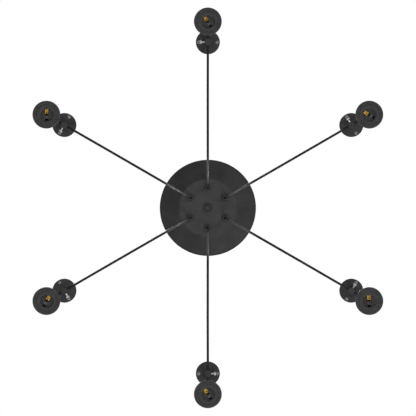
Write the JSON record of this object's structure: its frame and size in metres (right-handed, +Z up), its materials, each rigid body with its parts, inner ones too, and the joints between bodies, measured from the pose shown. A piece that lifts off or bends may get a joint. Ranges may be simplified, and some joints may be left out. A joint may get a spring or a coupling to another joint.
{
  "type": "chandelier",
  "caption": "Spider pendant chandelier: round ceiling canopy, cords that swag to ceiling clamps and drop to screw lampholders with shade rings.",
  "frame": {"origin": "centre of the canopy on the ceiling plane, midway between the crossbar's two slots", "axes": "+Z up into the ceiling, +X along the crossbar's slots"},
  "size_m": [0.682, 0.7792, 1.0215],
  "materials": {
    "canopy_black": "fine satin black powder coat",
    "clamp_black": "satin black powder coat",
    "holder_black": "satin black powder coat",
    "zinc_steel": "bright zinc plate",
    "stud_steel": "dull dark plate",
    "plate_screw_steel": "nickel plate",
    "lock_screw_steel": "bright nickel plate",
    "block_plastic": "natural nylon",
    "terminal_brass": "plain brass",
    "grip_plastic": "black nylon",
    "wire_plastic": "coloured insulation",
    "cord_textile": "black braided textile with a silky sheen",
    "core_plastic": "black moulded thermoset",
    "ring_plastic": "black moulded thermoset",
    "contact_brass": "sprung brass, the side contact nickel plated"
  },
  "bodies": {
    "ceiling_parts": {"canopy_cover": "canopy_black", "crossbar": "zinc_steel", "centre_stud": "stud_steel", "centre_nut": "canopy_black", "terminal_block": "block_plastic", "terminal_screws": "terminal_brass", "canopy_cord_grips": "grip_plastic", "grip_nuts": "grip_plastic", "lead_wires": "wire_plastic", "ceiling_plates": "clamp_black", "clamp_posts": "clamp_black", "plate_screws": "plate_screw_steel", "swag_cord_1": "cord_textile", "swag_cord_2": "cord_textile", "swag_cord_3": "cord_textile", "swag_cord_4": "cord_textile", "swag_cord_5": "cord_textile", "swag_cord_6": "cord_textile"},
    "pendant_1": {"drop_cord_1": "cord_textile"},
    "lampholder_1": {"lampholder_grip_1": "grip_plastic", "lampholder_cap_1": "holder_black", "lampholder_core_1": "core_plastic", "contacts_1": "contact_brass"},
    "ring_1": {"shade_ring_1": "ring_plastic"},
    "lock_1": {"clamp_screw_1": "lock_screw_steel"},
    "pendant_2": {"drop_cord_2": "cord_textile"},
    "lampholder_2": {"lampholder_grip_2": "grip_plastic", "lampholder_cap_2": "holder_black", "lampholder_core_2": "core_plastic", "contacts_2": "contact_brass"},
    "ring_2": {"shade_ring_2": "ring_plastic"},
    "lock_2": {"clamp_screw_2": "lock_screw_steel"},
    "pendant_3": {"drop_cord_3": "cord_textile"},
    "lampholder_3": {"lampholder_grip_3": "grip_plastic", "lampholder_cap_3": "holder_black", "lampholder_core_3": "core_plastic", "contacts_3": "contact_brass"},
    "ring_3": {"shade_ring_3": "ring_plastic"},
    "lock_3": {"clamp_screw_3": "lock_screw_steel"},
    "pendant_4": {"drop_cord_4": "cord_textile"},
    "lampholder_4": {"lampholder_grip_4": "grip_plastic", "lampholder_cap_4": "holder_black", "lampholder_core_4": "core_plastic", "contacts_4": "contact_brass"},
    "ring_4": {"shade_ring_4": "ring_plastic"},
    "lock_4": {"clamp_screw_4": "lock_screw_steel"},
    "pendant_5": {"drop_cord_5": "cord_textile"},
    "lampholder_5": {"lampholder_grip_5": "grip_plastic", "lampholder_cap_5": "holder_black", "lampholder_core_5": "core_plastic", "contacts_5": "contact_brass"},
    "ring_5": {"shade_ring_5": "ring_plastic"},
    "lock_5": {"clamp_screw_5": "lock_screw_steel"},
    "pendant_6": {"drop_cord_6": "cord_textile"},
    "lampholder_6": {"lampholder_grip_6": "grip_plastic", "lampholder_cap_6": "holder_black", "lampholder_core_6": "core_plastic", "contacts_6": "contact_brass"},
    "ring_6": {"shade_ring_6": "ring_plastic"},
    "lock_6": {"clamp_screw_6": "lock_screw_steel"}
  },
  "joints": [
    {"name": "pendant_swing_1", "type": "hinge", "parent": "ceiling_parts", "child": "pendant_1", "pos_m": [0.31393, 0.18125, -0.0358], "axis": [0.5, -0.866, 0], "range_deg": [-15, 30]},
    {"name": "lampholder_turn_1", "type": "hinge", "parent": "pendant_1", "child": "lampholder_1", "pos_m": [0.31393, 0.18125, -0.93], "axis": [0, 0, 1], "range_deg": [-180, 180]},
    {"name": "ring_unscrew_1", "type": "slide", "parent": "lampholder_1", "child": "ring_1", "axis": [0, 0, -1], "range_m": [0, 0.014]},
    {"name": "lock_screw_out_1", "type": "slide", "parent": "ceiling_parts", "child": "lock_1", "axis": [0.5, -0.866, 0], "range_m": [0, 0.003]},
    {"name": "pendant_swing_2", "type": "hinge", "parent": "ceiling_parts", "child": "pendant_2", "pos_m": [0, 0.3625, -0.0358], "axis": [1, 0, 0], "range_deg": [-15, 30]},
    {"name": "lampholder_turn_2", "type": "hinge", "parent": "pendant_2", "child": "lampholder_2", "pos_m": [0, 0.3625, -0.93], "axis": [0, 0, 1], "range_deg": [-180, 180]},
    {"name": "ring_unscrew_2", "type": "slide", "parent": "lampholder_2", "child": "ring_2", "axis": [0, 0, -1], "range_m": [0, 0.014]},
    {"name": "lock_screw_out_2", "type": "slide", "parent": "ceiling_parts", "child": "lock_2", "axis": [1, 0, 0], "range_m": [0, 0.003]},
    {"name": "pendant_swing_3", "type": "hinge", "parent": "ceiling_parts", "child": "pendant_3", "pos_m": [-0.31393, 0.18125, -0.0358], "axis": [0.5, 0.866, 0], "range_deg": [-15, 30]},
    {"name": "lampholder_turn_3", "type": "hinge", "parent": "pendant_3", "child": "lampholder_3", "pos_m": [-0.31393, 0.18125, -0.93], "axis": [0, 0, 1], "range_deg": [-180, 180]},
    {"name": "ring_unscrew_3", "type": "slide", "parent": "lampholder_3", "child": "ring_3", "axis": [0, 0, -1], "range_m": [0, 0.014]},
    {"name": "lock_screw_out_3", "type": "slide", "parent": "ceiling_parts", "child": "lock_3", "axis": [0.5, 0.866, 0], "range_m": [0, 0.003]},
    {"name": "pendant_swing_4", "type": "hinge", "parent": "ceiling_parts", "child": "pendant_4", "pos_m": [-0.31393, -0.18125, -0.0358], "axis": [-0.5, 0.866, 0], "range_deg": [-15, 30]},
    {"name": "lampholder_turn_4", "type": "hinge", "parent": "pendant_4", "child": "lampholder_4", "pos_m": [-0.31393, -0.18125, -0.93], "axis": [0, 0, 1], "range_deg": [-180, 180]},
    {"name": "ring_unscrew_4", "type": "slide", "parent": "lampholder_4", "child": "ring_4", "axis": [0, 0, -1], "range_m": [0, 0.014]},
    {"name": "lock_screw_out_4", "type": "slide", "parent": "ceiling_parts", "child": "lock_4", "axis": [-0.5, 0.866, 0], "range_m": [0, 0.003]},
    {"name": "pendant_swing_5", "type": "hinge", "parent": "ceiling_parts", "child": "pendant_5", "pos_m": [0, -0.3625, -0.0358], "axis": [-1, 0, 0], "range_deg": [-15, 30]},
    {"name": "lampholder_turn_5", "type": "hinge", "parent": "pendant_5", "child": "lampholder_5", "pos_m": [0, -0.3625, -0.93], "axis": [0, 0, 1], "range_deg": [-180, 180]},
    {"name": "ring_unscrew_5", "type": "slide", "parent": "lampholder_5", "child": "ring_5", "axis": [0, 0, -1], "range_m": [0, 0.014]},
    {"name": "lock_screw_out_5", "type": "slide", "parent": "ceiling_parts", "child": "lock_5", "axis": [-1, 0, 0], "range_m": [0, 0.003]},
    {"name": "pendant_swing_6", "type": "hinge", "parent": "ceiling_parts", "child": "pendant_6", "pos_m": [0.31393, -0.18125, -0.0358], "axis": [-0.5, -0.866, 0], "range_deg": [-15, 30]},
    {"name": "lampholder_turn_6", "type": "hinge", "parent": "pendant_6", "child": "lampholder_6", "pos_m": [0.31393, -0.18125, -0.93], "axis": [0, 0, 1], "range_deg": [-180, 180]},
    {"name": "ring_unscrew_6", "type": "slide", "parent": "lampholder_6", "child": "ring_6", "axis": [0, 0, -1], "range_m": [0, 0.014]},
    {"name": "lock_screw_out_6", "type": "slide", "parent": "ceiling_parts", "child": "lock_6", "axis": [-0.5, -0.866, 0], "range_m": [0, 0.003]}
  ]
}
